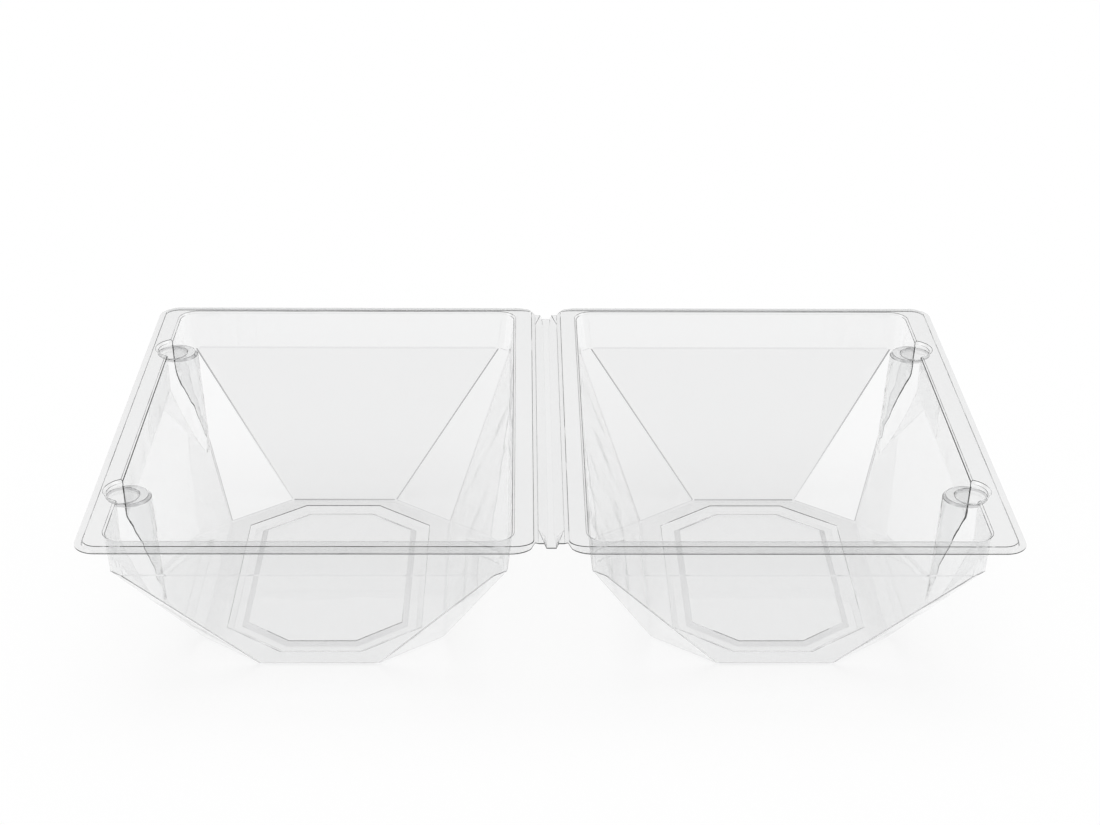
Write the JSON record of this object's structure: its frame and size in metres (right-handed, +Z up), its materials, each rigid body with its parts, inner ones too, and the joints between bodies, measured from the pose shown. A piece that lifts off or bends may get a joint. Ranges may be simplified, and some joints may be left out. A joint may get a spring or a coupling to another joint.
{
  "type": "clear plastic bouquet box",
  "caption": "Clear hinged flower box, thermoformed in one piece and stored open flat: two deep trays with octagonal feet, corner facets, hollow closing posts and a flanged rim.",
  "frame": {"origin": "on the floor, under the middle of the living hinge", "axes": "+X from the hinge to the lid tray, +Y to the back, +Z up; the box is open flat"},
  "size_m": [0.423, 0.279, 0.093],
  "materials": {
    "clear_film": "clear, glossy, thin formed film"
  },
  "bodies": {
    "base": {"base_tray": "clear_film"},
    "lid": {"lid_tray": "clear_film"}
  },
  "joints": [
    {"name": "lid_fold", "type": "hinge", "parent": "base", "child": "lid", "pos_m": [0, 0, 0.0932], "axis": [0, -1, 0], "range_deg": [0, 179.9]}
  ]
}
